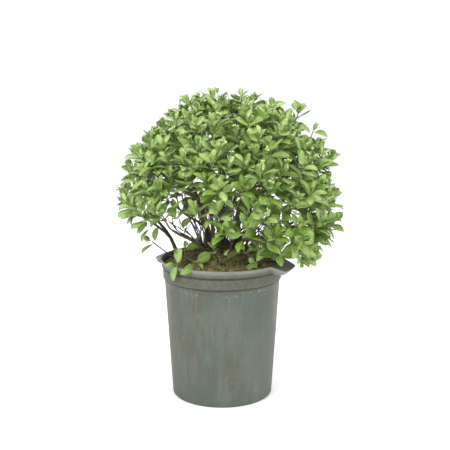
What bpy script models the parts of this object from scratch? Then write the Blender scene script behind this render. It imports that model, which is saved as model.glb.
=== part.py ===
"""A clipped round bush of large-leaf boxwood growing in a plastic nursery pot.

Metres, +Z up. The origin is the middle of the pot's flat underside. Seen from the front (along +Y), +X is to
the right. The pot and the forked stems have their real shapes. Each leaf spray is one plain closed solid that
holds the space of the leaves at the end of a shoot, and the sprays share the crown out between them.
"""
import math
import random

import bmesh
import bpy
from mathutils import Vector

UP = Vector((0.0, 0.0, 1.0))
GAP = 0.0003                    # clearance that touching pieces keep

# Pot: one moulding with a tapered wall, a collar, a flared lip and two grip ears
POT_HEIGHT = 0.343
POT_BASE_RADIUS = 0.1248
POT_TOP_RADIUS = 0.1425         # outside, just under the collar
POT_LIP_RADIUS = 0.153          # outside, at the flared top edge
POT_WALL = 0.002
POT_FLOOR = 0.003
COLLAR_BOTTOM = 0.295
COLLAR_TOP = 0.3215
COLLAR_STEP = 0.0035            # how far the collar stands out from the wall
LIP_BOTTOM = 0.324
POT_SEGMENTS = 72
RIGHT_EAR_REACH = 0.029         # how far an ear stands out from the lip
LEFT_EAR_REACH = 0.019
EAR_DROOP = 0.40                # how far an ear sags, as a share of its reach
EAR_TURN = math.radians(-23)    # the ears' axis, turned from +X
EAR_HALF_SPAN = math.radians(20)
EAR_FLAT = 0.55                 # share of the half span at full reach
DRAIN_HOLES = 8
DRAIN_RADIUS = 0.006
DRAIN_CIRCLE = 0.092
DRAIN_SIDES = 12

# Potting soil: fills the pot and is heaped around the stems
SOIL_SEGMENTS = 36
SOIL_EDGE_RADIUS = 0.1468
SOIL_EDGE_HEIGHT = 0.334
SOIL_HEAP = 0.040
SOIL_HEAP_POWER = 1.3
SOIL_TILT_RIGHT = 0.007         # rise from the middle to the right edge
SOIL_TILT_FRONT = 0.0045        # rise from the middle to the front edge
SOIL_LUMP = 0.0015
SOIL_TOP_RINGS = (0.92, 0.78, 0.62, 0.44, 0.24)

# Crown: a dome of leaf sprays in rings around its centre
CROWN_CENTRE = Vector((0.015, 0.0, 0.455))
CROWN_WIDE = 0.228              # from the centre to the middle of a spray, sideways
CROWN_HIGH = 0.248              # the same, upwards
SPRAY_RADIUS = 0.075
SPRAY_INSET = 0.045             # from a spray's middle to the flat face its limb meets
SPRAY_CLEARANCE = 0.0015        # half the gap between neighbouring sprays
SPRAY_WANDER = 0.006
SPRAY_SWELL = 0.05
GROWTH_ORIGIN = Vector((0.0, 0.0, 0.30))
SHOULDER_RISE = math.radians(58)
UPPER_RISE = math.radians(30)
WAIST_RISE = math.radians(3)
SKIRT_HEIGHT = 0.372
SKIRT_RADIUS = 0.226
SKIRT_CLEAR_OF_RIM = 0.188
SKIRT_SPRAY_RADIUS = 0.070
CROWN_TOP = 0.765

# Stems: each has a leader, and side limbs that fork off it
INNER_STEMS = 5
OUTER_STEMS = 6
INNER_STEM_CIRCLE = 0.036
OUTER_STEM_CIRCLE = 0.080
LEFT_STEM_CIRCLE = 0.112        # the left one stands nearer to the rim
LEFT_STEM = 3
INNER_STEM_TURN = math.radians(20)
STEM_ROOT_RADIUS = 0.0058
STEM_TIP_RADIUS = 0.0028
STEM_SUNK = 0.020               # how deep a stem's foot stands in the soil
STEM_STEPS = 5
STEM_SIDES = 6
LIMB_STEPS = 3
LIMB_HANDLE = 0.32              # length of a curve's handles, as a share of its span
LIMB_THINNING = 0.8             # a limb's thickness where it forks off, as a share of its leader's
FIRST_FORK = 3                  # the leader's point that the first side limb grows from
SOCKET_MARGIN = 0.0006
SOCKET_SIDES = 10
LIMB_SHIFT = 0.014              # a limb meets its spray this far off centre, towards its own stem
SKIRT_TURNS = {5: -40.0, 0: 0.0, 1: 40.0, 2: 85.0}      # outer stem: its low spray's direction, degrees

# Low shoots: short twigs at the pot's edge, each with a small spray over the rim
LOW_SHOOT_TURNS = (231.0, 268.0, 297.0, 341.0)
LOW_TWIG_CIRCLE = 0.116
LOW_TWIG_RADIUS = 0.0026
LOW_SPRAY_CIRCLE = 0.140
LOW_SPRAY_HEIGHT = 0.378
LOW_SPRAY_RADIUS = 0.028
LOW_SPRAY_INSET = 0.015
LOW_SPRAY_FLOOR = 0.352


def clear_scene():
    """Start from an empty scene."""
    for item in list(bpy.data.objects):
        bpy.data.objects.remove(item, do_unlink=True)


def material(name, colour, roughness):
    """A Principled material with one colour and no metal in it."""
    made = bpy.data.materials.new(name)
    made.use_nodes = True
    shader = made.node_tree.nodes["Principled BSDF"]
    shader.inputs["Base Color"].default_value = (*colour, 1.0)
    shader.inputs["Roughness"].default_value = roughness
    shader.inputs["Metallic"].default_value = 0.0
    return made


def add_object(name, mesh_builder, finish):
    """Turn a bmesh into an object with one material."""
    mesh = bpy.data.meshes.new(name)
    bmesh.ops.recalc_face_normals(mesh_builder, faces=mesh_builder.faces)
    mesh_builder.to_mesh(mesh)
    mesh_builder.free()
    mesh.materials.append(finish)
    made = bpy.data.objects.new(name, mesh)
    bpy.context.scene.collection.objects.link(made)
    return made


def heading(turn):
    """The level direction at an angle from +X."""
    return Vector((math.cos(turn), math.sin(turn), 0.0))


def add_lofted_rings(builder, rings):
    """Join closed rings of points by quads and close both ends to their middle points."""
    rows = [[builder.verts.new(point) for point in ring] for ring in rings]
    for low, high in zip(rows, rows[1:]):
        for index, corner in enumerate(low):
            following = (index + 1) % len(low)
            builder.faces.new((corner, low[following], high[following], high[index]))
    for row in (rows[0], rows[-1]):
        middle = builder.verts.new(sum((corner.co for corner in row), Vector()) / len(row))
        for index, corner in enumerate(row):
            builder.faces.new((corner, row[(index + 1) % len(row)], middle))


def combine(target, tool, operation):
    """Cut a hidden tool out of a solid, or join it on."""
    tool.hide_render = True
    tool.display_type = "WIRE"
    step = target.modifiers.new(tool.name, "BOOLEAN")
    step.operation = operation
    step.solver = "EXACT"
    step.object = tool


def add_cylinder(builder, middle, radius, depth, sides):
    """Add an upright cylinder to a bmesh."""
    made = bmesh.ops.create_cone(
        builder, cap_ends=True, segments=sides, radius1=radius, radius2=radius, depth=depth
    )
    bmesh.ops.translate(builder, verts=made["verts"], vec=middle)


# ---- pot

def ear_reach(turn):
    """How far the ears stand out from the lip at this angle."""
    longest = RIGHT_EAR_REACH if math.cos(turn - EAR_TURN) > 0.0 else LEFT_EAR_REACH
    apart = math.remainder(turn - EAR_TURN, math.pi)
    ramp = (EAR_HALF_SPAN - abs(apart)) / (EAR_HALF_SPAN * (1.0 - EAR_FLAT))
    share = min(max(ramp, 0.0), 1.0)
    return longest * share * share * (3.0 - 2.0 * share)


def pot_profile():
    """Rings of the pot from the underside, up the outside, over the lip and down the inside.

    Each is a radius, a height and the share of the ears' reach that it takes.
    """
    collar = POT_TOP_RADIUS + COLLAR_STEP
    inner_collar = collar - POT_WALL
    return (
        (POT_BASE_RADIUS - 0.0040, 0.0, 0.0),
        (POT_BASE_RADIUS - 0.0011, 0.0013, 0.0),
        (POT_BASE_RADIUS, 0.0055, 0.0),
        (POT_TOP_RADIUS, COLLAR_BOTTOM, 0.0),
        (collar, COLLAR_BOTTOM + 0.0025, 0.0),
        (collar + 0.0004, COLLAR_TOP, 0.0),
        (POT_LIP_RADIUS - 0.0042, LIP_BOTTOM, 0.35),
        (POT_LIP_RADIUS - 0.0030, LIP_BOTTOM + 0.006, 0.80),
        (POT_LIP_RADIUS - 0.0010, POT_HEIGHT - 0.0040, 0.97),
        (POT_LIP_RADIUS, POT_HEIGHT - 0.0012, 1.0),
        (POT_LIP_RADIUS - 0.0010, POT_HEIGHT, 0.98),
        (POT_LIP_RADIUS - 0.0032, POT_HEIGHT, 0.0),
        (POT_LIP_RADIUS - 0.0044, POT_HEIGHT - 0.0015, 0.0),
        (POT_LIP_RADIUS - 0.0058, LIP_BOTTOM, 0.0),
        (inner_collar, COLLAR_TOP - 0.0015, 0.0),
        (inner_collar - 0.0004, COLLAR_BOTTOM + 0.0035, 0.0),
        (POT_TOP_RADIUS - POT_WALL, COLLAR_BOTTOM - 0.001, 0.0),
        (POT_BASE_RADIUS - POT_WALL - 0.0003, 0.010, 0.0),
        (POT_BASE_RADIUS - 0.0053, POT_FLOOR, 0.0),
    )


def build_pot(finish):
    """The pot: a lathed wall with ears on its lip and drain holes through its floor."""
    rings = []
    for radius, height, share in pot_profile():
        ring = []
        for step in range(POT_SEGMENTS):
            turn = math.tau * step / POT_SEGMENTS
            reach = share * ear_reach(turn)
            ring.append(heading(turn) * (radius + reach) + UP * (height - EAR_DROOP * reach))
        rings.append(ring)
    builder = bmesh.new()
    add_lofted_rings(builder, rings)
    pot = add_object("pot", builder, finish)

    holes = bmesh.new()
    for step in range(DRAIN_HOLES):
        place = heading(math.tau * (step + 0.5) / DRAIN_HOLES) * DRAIN_CIRCLE
        add_cylinder(holes, place, DRAIN_RADIUS, POT_FLOOR * 4.0, DRAIN_SIDES)
    combine(pot, add_object("drain_hole_cutter", holes, finish), "DIFFERENCE")


# ---- soil

def soil_height(x, y):
    """Height of the heaped soil above a point of the pot's floor plan."""
    inside = max(0.0, 1.0 - (x * x + y * y) / SOIL_EDGE_RADIUS ** 2)
    heap = SOIL_HEAP * inside ** SOIL_HEAP_POWER
    tilt = SOIL_TILT_RIGHT * x / SOIL_EDGE_RADIUS - SOIL_TILT_FRONT * y / SOIL_EDGE_RADIUS
    lumps = SOIL_LUMP * math.sin(61.0 * x + 1.3) * math.sin(53.0 * y + 0.4)
    return SOIL_EDGE_HEIGHT + heap + tilt + lumps


def build_soil(finish, feet):
    """The soil: it follows the pot's inside with a small gap, and has a socket for each stem's foot."""
    inner_collar = POT_TOP_RADIUS + COLLAR_STEP - POT_WALL
    sides = (
        (POT_BASE_RADIUS - 0.0062, POT_FLOOR + GAP),
        (POT_BASE_RADIUS - POT_WALL - 0.0009, 0.0105),
        (POT_TOP_RADIUS - POT_WALL - 2.0 * GAP, COLLAR_BOTTOM - 0.0014),
        (inner_collar - 0.0012, COLLAR_BOTTOM + 0.0040),
        (inner_collar - 0.0008, COLLAR_TOP - 0.0010),
    )
    turns = [math.tau * step / SOIL_SEGMENTS for step in range(SOIL_SEGMENTS)]
    rings = [[heading(turn) * radius + UP * height for turn in turns] for radius, height in sides]
    for share in (1.0, *SOIL_TOP_RINGS):
        ring = [heading(turn) * SOIL_EDGE_RADIUS * share for turn in turns]
        rings.append([place + UP * soil_height(place.x, place.y) for place in ring])
    builder = bmesh.new()
    add_lofted_rings(builder, rings)
    soil = add_object("potting_soil", builder, finish)

    sockets = bmesh.new()
    for foot, radius in feet:
        bottom = foot.z - STEM_SUNK - 2.0 * GAP
        top = foot.z + STEM_SUNK
        middle = Vector((foot.x, foot.y, (bottom + top) / 2.0))
        add_cylinder(sockets, middle, radius + SOCKET_MARGIN, top - bottom, SOCKET_SIDES)
    combine(soil, add_object("socket_cutter", sockets, finish), "DIFFERENCE")


# ---- crown layout

class Spray:
    """One leaf spray: its middle, its size, the way its shoot grows and the planes that trim it."""

    def __init__(self, name, centre, radius, growth, inset):
        self.name = name
        self.centre = centre
        self.radius = radius
        self.growth = growth.normalized()
        self.inset = inset
        self.entry = centre - self.growth * (inset + GAP)
        self.trims = [(-self.growth, inset)]

    def keep_below(self, normal, level):
        """Trim the spray where it passes a plane, given by its normal and its distance from the origin."""
        self.trims.append((normal, level - normal.dot(self.centre)))

    def keep_clear_of(self, other):
        """Trim the spray at the plane half way to a neighbour."""
        between = other.centre - self.centre
        self.trims.append((between.normalized(), between.length / 2.0 - SPRAY_CLEARANCE))

    def reach(self, direction, swell):
        """How far the spray reaches from its middle in a direction."""
        reach = self.radius * swell
        for normal, distance in self.trims:
            facing = normal.dot(direction)
            if facing > 0.0:
                reach = min(reach, distance / facing)
        return reach


def dome_spray(number, turn, rise, chance):
    """A spray of the dome at a compass direction and an angle above the level."""
    wander = Vector([chance.uniform(-SPRAY_WANDER, SPRAY_WANDER) for _ in range(3)])
    centre = CROWN_CENTRE + heading(turn) * CROWN_WIDE * math.cos(rise) + UP * CROWN_HIGH * math.sin(rise)
    centre += wander
    spray = Spray(f"leaf_spray_{number:02d}", centre, SPRAY_RADIUS, centre - GROWTH_ORIGIN, SPRAY_INSET)
    spray.keep_below(UP, CROWN_TOP)
    return spray


def skirt_spray(number, turn):
    """A spray that hangs beside the pot's rim, clear of the ears."""
    centre = heading(turn) * SKIRT_RADIUS + UP * SKIRT_HEIGHT
    inset = SKIRT_RADIUS - SKIRT_CLEAR_OF_RIM
    return Spray(f"leaf_spray_{number:02d}", centre, SKIRT_SPRAY_RADIUS, heading(turn), inset)


def low_spray(number, turn):
    """A small spray just above the rim."""
    centre = heading(turn) * LOW_SPRAY_CIRCLE + UP * LOW_SPRAY_HEIGHT
    spray = Spray(f"low_leaf_spray_{number}", centre, LOW_SPRAY_RADIUS, UP + heading(turn) * 0.3,
                  LOW_SPRAY_INSET)
    spray.keep_below(-UP, -LOW_SPRAY_FLOOR)
    return spray


def lay_out_crown():
    """Place every spray and share them out: each stem is its foot's direction and its list of sprays."""
    chance = random.Random(11)
    numbers = iter(range(1, 60))
    plans = [(Vector(), [dome_spray(next(numbers), 0.0, math.pi / 2.0, chance)])]
    for step in range(INNER_STEMS):
        turn = INNER_STEM_TURN + math.tau * step / INNER_STEMS
        half = math.pi / (2 * INNER_STEMS)
        served = [dome_spray(next(numbers), turn, SHOULDER_RISE, chance)]
        served += [dome_spray(next(numbers), turn + side * half, UPPER_RISE, chance) for side in (-1, 1)]
        plans.append((heading(turn) * INNER_STEM_CIRCLE, served))
    for step in range(OUTER_STEMS):
        turn = math.tau * step / OUTER_STEMS
        half = math.pi / (2 * OUTER_STEMS)
        served = [dome_spray(next(numbers), turn + side * half, WAIST_RISE, chance) for side in (-1, 1)]
        if step in SKIRT_TURNS:
            served.append(skirt_spray(next(numbers), math.radians(SKIRT_TURNS[step])))
        circle = LEFT_STEM_CIRCLE if step == LEFT_STEM else OUTER_STEM_CIRCLE
        plans.append((heading(turn) * circle, served))
    return plans


def build_spray(spray, finish, chance):
    """A spray's plain solid: a ball of facets, trimmed flat by its planes."""
    builder = bmesh.new()
    bmesh.ops.create_icosphere(builder, subdivisions=2, radius=1.0)
    for corner in builder.verts:
        direction = corner.co.normalized()
        swell = 1.0 + chance.uniform(-SPRAY_SWELL, SPRAY_SWELL)
        corner.co = spray.centre + direction * spray.reach(direction, swell)
    add_object(spray.name, builder, finish)


# ---- stems

def curve_point(start, leave, arrive, end, share):
    """A point on the cubic curve through two ends with two handles."""
    rest = 1.0 - share
    return (start * rest ** 3 + leave * 3.0 * rest ** 2 * share
            + arrive * 3.0 * rest * share ** 2 + end * share ** 3)


def add_tube(builder, points, radii, arrival):
    """Sweep a many-sided ring along a line of points; the far end's flat face looks along arrival."""
    last = len(points) - 1
    side = (points[1] - points[0]).orthogonal().normalized()
    rings = []
    for index, (point, radius) in enumerate(zip(points, radii)):
        turned = (points[min(index + 1, last)] - points[max(index - 1, 0)]).normalized()
        if index == last:
            turned = arrival
        side = (side - turned * side.dot(turned)).normalized()
        across = turned.cross(side)
        ring = []
        for step in range(STEM_SIDES):
            turn = math.tau * step / STEM_SIDES
            ring.append(point + (side * math.cos(turn) + across * math.sin(turn)) * radius)
        rings.append(ring)
    add_lofted_rings(builder, rings)


def limb_ends(sprays):
    """Where each limb of a stem meets its spray: off the face's middle, towards the stem's other sprays."""
    middle = sum((spray.entry for spray in sprays), Vector()) / len(sprays)
    ends = []
    for spray in sprays:
        aside = middle - spray.entry
        aside -= spray.growth * aside.dot(spray.growth)
        aside.normalize()
        ends.append(spray.entry + aside * LIMB_SHIFT)
    return ends


def build_stem(name, foot, sprays, root_radius, finish):
    """A forked stem: a leader from its foot to the first spray, and a side limb to each other one."""
    ends = limb_ends(sprays)
    reach = (ends[0] - foot).length
    leave = foot + UP * LIMB_HANDLE * reach
    arrive = ends[0] - sprays[0].growth * LIMB_HANDLE * reach
    shares = [step / STEM_STEPS for step in range(STEM_STEPS + 1)]
    leader = [foot - UP * STEM_SUNK]
    leader += [curve_point(foot, leave, arrive, ends[0], share) for share in shares]
    radii = [root_radius]
    radii += [root_radius + (STEM_TIP_RADIUS - root_radius) * share for share in shares]
    builder = bmesh.new()
    add_tube(builder, leader, radii, sprays[0].growth)
    stem = add_object(name, builder, finish)

    for order, (spray, end) in enumerate(zip(sprays[1:], ends[1:])):
        fork = FIRST_FORK + order
        start = leader[fork]
        reach = (end - start).length
        along = (leader[fork + 1] - leader[fork - 1]).normalized()
        leave = start + (along + (end - start).normalized()).normalized() * LIMB_HANDLE * reach
        arrive = end - spray.growth * LIMB_HANDLE * reach
        shares = [step / LIMB_STEPS for step in range(LIMB_STEPS + 1)]
        limb = [curve_point(start, leave, arrive, end, share) for share in shares]
        thick = radii[fork] * LIMB_THINNING
        limb_radii = [thick + (STEM_TIP_RADIUS - thick) * share for share in shares]
        builder = bmesh.new()
        add_tube(builder, limb, limb_radii, spray.growth)
        combine(stem, add_object(f"{name}_limb_{order + 1}", builder, finish), "UNION")


def build_plant():
    """Build the pot, the soil, the stems and the sprays."""
    clear_scene()
    plastic = material("pot_plastic", (0.19, 0.22, 0.18), 0.55)
    soil = material("potting_soil", (0.07, 0.05, 0.025), 0.95)
    bark = material("bark", (0.13, 0.105, 0.07), 0.8)
    leaf = material("leaf", (0.17, 0.27, 0.08), 0.45)

    plans = lay_out_crown()
    low_sprays = [low_spray(number, math.radians(turn))
                  for number, turn in enumerate(LOW_SHOOT_TURNS, start=1)]
    sprays = [spray for _, served in plans for spray in served] + low_sprays
    for spray in sprays:
        for other in sprays:
            if other is not spray:
                spray.keep_clear_of(other)
    low_feet = [heading(math.radians(turn)) * LOW_TWIG_CIRCLE for turn in LOW_SHOOT_TURNS]

    def on_soil(place):
        return Vector((place.x, place.y, soil_height(place.x, place.y)))

    stems = [(f"stem_{number:02d}", on_soil(place), served, STEM_ROOT_RADIUS)
             for number, (place, served) in enumerate(plans, start=1)]
    stems += [(f"low_twig_{number}", on_soil(place), [spray], LOW_TWIG_RADIUS)
              for number, (place, spray) in enumerate(zip(low_feet, low_sprays), start=1)]

    build_pot(plastic)
    build_soil(soil, [(foot, radius) for _, foot, _, radius in stems])
    for name, foot, served, radius in stems:
        build_stem(name, foot, served, radius, bark)
    chance = random.Random(5)
    for spray in sprays:
        build_spray(spray, leaf, chance)


build_plant()
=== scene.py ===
"""A round potted bush of large-leaf boxwood: its looks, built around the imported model."""
import math
import random

import bmesh
import bpy
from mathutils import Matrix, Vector, noise


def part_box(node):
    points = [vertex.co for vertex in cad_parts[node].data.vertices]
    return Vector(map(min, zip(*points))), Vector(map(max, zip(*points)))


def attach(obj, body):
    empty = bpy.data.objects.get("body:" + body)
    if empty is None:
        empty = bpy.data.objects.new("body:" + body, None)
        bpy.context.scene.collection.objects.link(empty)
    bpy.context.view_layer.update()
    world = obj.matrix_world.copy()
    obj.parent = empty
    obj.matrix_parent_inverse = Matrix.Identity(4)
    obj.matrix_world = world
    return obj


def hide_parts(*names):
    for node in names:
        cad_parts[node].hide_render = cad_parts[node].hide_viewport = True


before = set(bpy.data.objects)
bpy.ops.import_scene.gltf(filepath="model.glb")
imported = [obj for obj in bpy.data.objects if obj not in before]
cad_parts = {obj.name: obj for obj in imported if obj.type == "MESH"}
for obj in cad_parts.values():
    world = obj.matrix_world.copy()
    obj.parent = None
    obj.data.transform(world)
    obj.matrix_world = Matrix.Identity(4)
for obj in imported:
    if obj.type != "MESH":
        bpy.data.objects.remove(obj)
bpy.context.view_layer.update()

UP = Vector((0.0, 0.0, 1.0))


# ---- Nursery pot --------------------------------------------------------------------------------
# One injection moulding in recycled polypropylene, with a collar that stiffens the wall, a flared lip and
# two ears to lift it by. It has stood outdoors for years: chalky, scuffed and streaked by water. Painted shade
# darkens its grooves and its sides, painted light brightens its ears, and a painted sheen lies on two sides.

POT_STEPS = 192                 # corners in each round of the wall
POT_WALL_STEPS = 16             # rounds between foot and collar
POT_WAVE = 0.0006               # how far the thin wall is out of round
POT_WALL = 0.002
POT_FLOOR = 0.003
POT_FOOT = 0.006                # height of its rounded foot
COLLAR_STEP = 0.0035            # how far the collar stands out from the wall
DRAIN_CIRCLE = 0.092
DRAIN_RADIUS = 0.006
DRAIN_HOLES = 8
EAR_TURN = math.radians(-23)    # the ears' axis, turned from +X
EAR_HALF_SPAN = math.radians(20)
EAR_FLAT = 0.55                 # share of the half span at full reach
RIGHT_EAR_REACH = 0.029         # how far an ear stands out from the lip
LEFT_EAR_REACH = 0.019
EAR_DROOP = 0.40                # share of its reach that an ear sags

GREEN_PLASTIC = (0.070, 0.091, 0.074)
GREY_PLASTIC = (0.096, 0.108, 0.086)
PAINTED_SIDE_SHADE = (0.052, 0.066, 0.048)
BROWN_STAIN = (0.078, 0.076, 0.054)
PALE_STREAK = (0.128, 0.140, 0.114)
DARK_STREAK = (0.068, 0.070, 0.048)
PALE_MOTTLE = (0.165, 0.175, 0.142)
DARK_MOTTLE = (0.050, 0.055, 0.040)
BROWNED_COLLAR = (0.084, 0.084, 0.055)
PALE_SMEAR = (0.120, 0.128, 0.100)
DARK_SMEAR = (0.052, 0.048, 0.024)
PAINTED_GROOVE_SHADE_AND_DARK_FOOT = (0.034, 0.026, 0.009)
BLEACHED_LIP = (0.320, 0.320, 0.265)
BLEACHED_EAR_AND_PAINTED_LIGHT = (0.300, 0.310, 0.262)
LIME_AND_PAINTED_SHEEN = (0.310, 0.315, 0.262)
DRIED_MUD = (0.280, 0.250, 0.165)
DRIED_DRIP = (0.240, 0.250, 0.205)


class Value:
    """What a node gives out. The operators add Math nodes, so that sums can be written out."""

    def __init__(self, wiring, socket):
        self.wiring = wiring
        self.socket = socket

    def __add__(self, other):
        return self.wiring.maths("ADD", self, other)

    def __radd__(self, other):
        return self.wiring.maths("ADD", other, self)

    def __sub__(self, other):
        return self.wiring.maths("SUBTRACT", self, other)

    def __rsub__(self, other):
        return self.wiring.maths("SUBTRACT", other, self)

    def __mul__(self, other):
        return self.wiring.maths("MULTIPLY", self, other)

    def __rmul__(self, other):
        return self.wiring.maths("MULTIPLY", other, self)

    def __truediv__(self, other):
        return self.wiring.maths("DIVIDE", self, other)

    def __pow__(self, other):
        return self.wiring.maths("POWER", self, other)

    def __abs__(self):
        return self.wiring.maths("ABSOLUTE", self)

    def step(self, low, high):
        """0 below low and 1 above high, with a smooth climb between them; high may be the lower one."""
        settings = {"interpolation_type": "SMOOTHSTEP"}
        inputs = {"Value": self, "From Min": low, "From Max": high}
        if high < low:
            inputs = {"Value": self, "From Min": high, "From Max": low, "To Min": 1.0, "To Max": 0.0}
        return self.wiring.add("ShaderNodeMapRange", settings, inputs)

    def between(self, start, full, fade, end):
        """1 from full to fade, with smooth slopes to 0 at start and at end."""
        return self.step(start, full) * self.step(end, fade)


class Wiring:
    """Adds nodes to a tree and joins them up."""

    def __init__(self, tree):
        self.tree = tree

    def feed(self, socket, value):
        """Link a Value to a socket, or set the socket's own number, colour, object or text."""
        if isinstance(value, Value):
            self.tree.links.new(value.socket, socket)
        elif socket.type == "RGBA" and len(value) == 3:
            socket.default_value = (*value, 1.0)
        else:
            socket.default_value = value

    def add(self, kind, settings=None, inputs=None, output=0):
        """Add a node of a type: its settings first, then its inputs by name or number."""
        node = self.tree.nodes.new(kind)
        for name, setting in (settings or {}).items():
            setattr(node, name, setting)
        for name, value in (inputs or {}).items():
            self.feed(node.inputs[name], value)
        return Value(self, node.outputs[output])

    def maths(self, operation, *values):
        """A Math node."""
        return self.add("ShaderNodeMath", {"operation": operation}, dict(enumerate(values)))

    def scaled(self, vector, share):
        """A Vector Math node that makes a vector longer, shorter or turned round."""
        return self.add("ShaderNodeVectorMath", {"operation": "SCALE"}, {0: vector, "Scale": share})

    def mix(self, share, first, second):
        """A Mix node on two colours."""
        return self.add("ShaderNodeMix", {"data_type": "RGBA"}, {0: share, 6: first, 7: second}, output=2)

    def split(self, vector, axis):
        """One component of a vector, 0 to 2."""
        return self.add("ShaderNodeSeparateXYZ", None, {0: vector}, output=axis)


class Finish(Wiring):
    """A material made of nodes around one Principled shader."""

    def __init__(self, name):
        self.material = bpy.data.materials.new(name)
        self.material.use_nodes = True
        super().__init__(self.material.node_tree)
        self.shader = self.tree.nodes["Principled BSDF"]
        self.colour = None

    def ground(self, share, first, second):
        """Start the colour as a mix of two."""
        self.colour = self.mix(share, first, second)

    def paint(self, share, colour):
        """Lay a colour over what is there so far."""
        self.colour = self.mix(share, self.colour, colour)

    def place(self, scale=(1.0, 1.0, 1.0)):
        """The object's own coordinates, stretched by a Mapping node."""
        coordinates = self.add("ShaderNodeTexCoord", output="Object")
        return self.add("ShaderNodeMapping", None, {"Vector": coordinates, "Scale": scale})

    def noise(self, size, scale=(1.0, 1.0, 1.0), detail=4.0, rough=0.55):
        """Noise with features of a size in metres, from 0 to 1."""
        inputs = {"Vector": self.place(scale), "Scale": 1.0 / size, "Detail": detail, "Roughness": rough}
        return self.add("ShaderNodeTexNoise", None, inputs)

    def cells(self, size):
        """Distance to scattered points whose spacing is a size in metres."""
        return self.add("ShaderNodeTexVoronoi", None, {"Vector": self.place(), "Scale": 1.0 / size})

    def set(self, **inputs):
        """Feed the shader's inputs; an underscore in a name stands for a space."""
        for name, value in inputs.items():
            self.feed(self.shader.inputs[name.replace("_", " ")], value)

    def bump(self, height, distance, strength):
        """Turn a height into the shader's normal."""
        inputs = {"Height": height, "Distance": distance, "Strength": strength}
        self.set(Normal=self.add("ShaderNodeBump", None, inputs))


def mesh_of(name, builder):
    """A mesh made from a bmesh, which is used up."""
    mesh = bpy.data.meshes.new(name)
    builder.to_mesh(mesh)
    builder.free()
    return mesh


def stand(name, data):
    """An object in the scene that holds a mesh, a lamp or a camera."""
    thing = bpy.data.objects.new(name, data)
    bpy.context.scene.collection.objects.link(thing)
    return thing


def clothe(mesh, finish):
    """Give a mesh one finish and smooth faces."""
    mesh.materials.clear()
    mesh.materials.append(finish)
    mesh.polygons.foreach_set("use_smooth", [True] * len(mesh.polygons))


def make_piece(name, builder, finish, slot, *nodes):
    """Turn a bmesh into a smooth piece that stands for CAD nodes."""
    mesh = mesh_of(name, builder)
    clothe(mesh, finish)
    return settle(stand(name, mesh), slot, *nodes)


def settle(piece, slot, *nodes):
    """Let a finished piece ride on the plant and hide the CAD nodes that it stands for; its slot is not used."""
    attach(piece, "root")
    if nodes:
        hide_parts(*nodes)
    return piece


def heading(turn):
    """The level direction at an angle from +X."""
    return Vector((math.cos(turn), math.sin(turn), 0.0))


def add_rings(builder, rings, close_ends=True):
    """Join closed rings of points by quads."""
    rows = [[builder.verts.new(point) for point in ring] for ring in rings]
    for low, high in zip(rows, rows[1:]):
        for index, corner in enumerate(low):
            following = (index + 1) % len(low)
            builder.faces.new((corner, low[following], high[following], high[index]))
    if close_ends:
        for row, turned in ((rows[0], True), (rows[-1], False)):
            middle = builder.verts.new(sum((corner.co for corner in row), Vector()) / len(row))
            for index, corner in enumerate(row):
                following = row[(index + 1) % len(row)]
                builder.faces.new((following, corner, middle) if turned else (corner, following, middle))


pot_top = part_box("pot")[1]
pot_height = pot_top.z
lip_radius = pot_top.y
neck_radius = lip_radius - 0.0105       # outside, just under the collar
base_radius = lip_radius - 0.0282       # outside, at the foot
collar_bottom = pot_height - 0.048
collar_top = pot_height - 0.0215
lip_bottom = pot_height - 0.019


def pot_rounds():
    """The moulding's rounds from the underside, up the outside, over the lip and down the inside.

    Each is a radius, a height and the share of the ears' reach that it takes.
    """
    collar = neck_radius + COLLAR_STEP
    shares = [step / POT_WALL_STEPS for step in range(1, POT_WALL_STEPS + 1)]
    wall = [(base_radius + (neck_radius - base_radius) * share,
             POT_FOOT + (collar_bottom - POT_FOOT) * share, 0.0) for share in shares]
    return [
        # underside, raised in the middle, and foot
        (0.03, 0.0012, 0.0), (base_radius - 0.030, 0.0012, 0.0), (base_radius - 0.026, 0.0, 0.0),
        (base_radius - 0.0042, 0.0, 0.0), (base_radius - 0.0022, 0.0004, 0.0),
        (base_radius - 0.0008, 0.0016, 0.0), (base_radius - 0.0001, 0.0034, 0.0),
        (base_radius, POT_FOOT, 0.0), *wall,
        # collar
        (collar - 0.0018, collar_bottom + 0.0004, 0.0), (collar - 0.0004, collar_bottom + 0.0012, 0.0),
        (collar, collar_bottom + 0.0028, 0.0), (collar + 0.0002, collar_bottom + 0.013, 0.0),
        (collar + 0.0004, collar_top - 0.001, 0.0), (collar + 0.0002, collar_top + 0.0004, 0.0),
        # lip and ears
        (collar + 0.0014, lip_bottom - 0.0006, 0.20), (lip_radius - 0.0042, lip_bottom, 0.35),
        (lip_radius - 0.0036, lip_bottom + 0.0020, 0.58), (lip_radius - 0.0031, lip_bottom + 0.0055, 0.79),
        (lip_radius - 0.0024, lip_bottom + 0.0100, 0.88), (lip_radius - 0.0012, pot_height - 0.0048, 0.96),
        (lip_radius - 0.0002, pot_height - 0.0028, 1.0), (lip_radius, pot_height - 0.0014, 1.0),
        (lip_radius - 0.0005, pot_height - 0.0004, 0.99), (lip_radius - 0.0014, pot_height, 0.97),
        (lip_radius - 0.0030, pot_height, 0.0), (lip_radius - 0.0040, pot_height - 0.0006, 0.0),
        (lip_radius - 0.0045, pot_height - 0.0020, 0.0), (lip_radius - 0.0058, lip_bottom, 0.0),
        # inside and floor
        (collar - POT_WALL, collar_top - 0.0015, 0.0),
        (collar - POT_WALL - 0.0004, collar_bottom + 0.0035, 0.0),
        (neck_radius - POT_WALL, collar_bottom - 0.001, 0.0), (base_radius - POT_WALL - 0.0003, 0.010, 0.0),
        (base_radius - 0.0053, POT_FLOOR, 0.0), (0.03, POT_FLOOR, 0.0),
    ]


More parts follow.
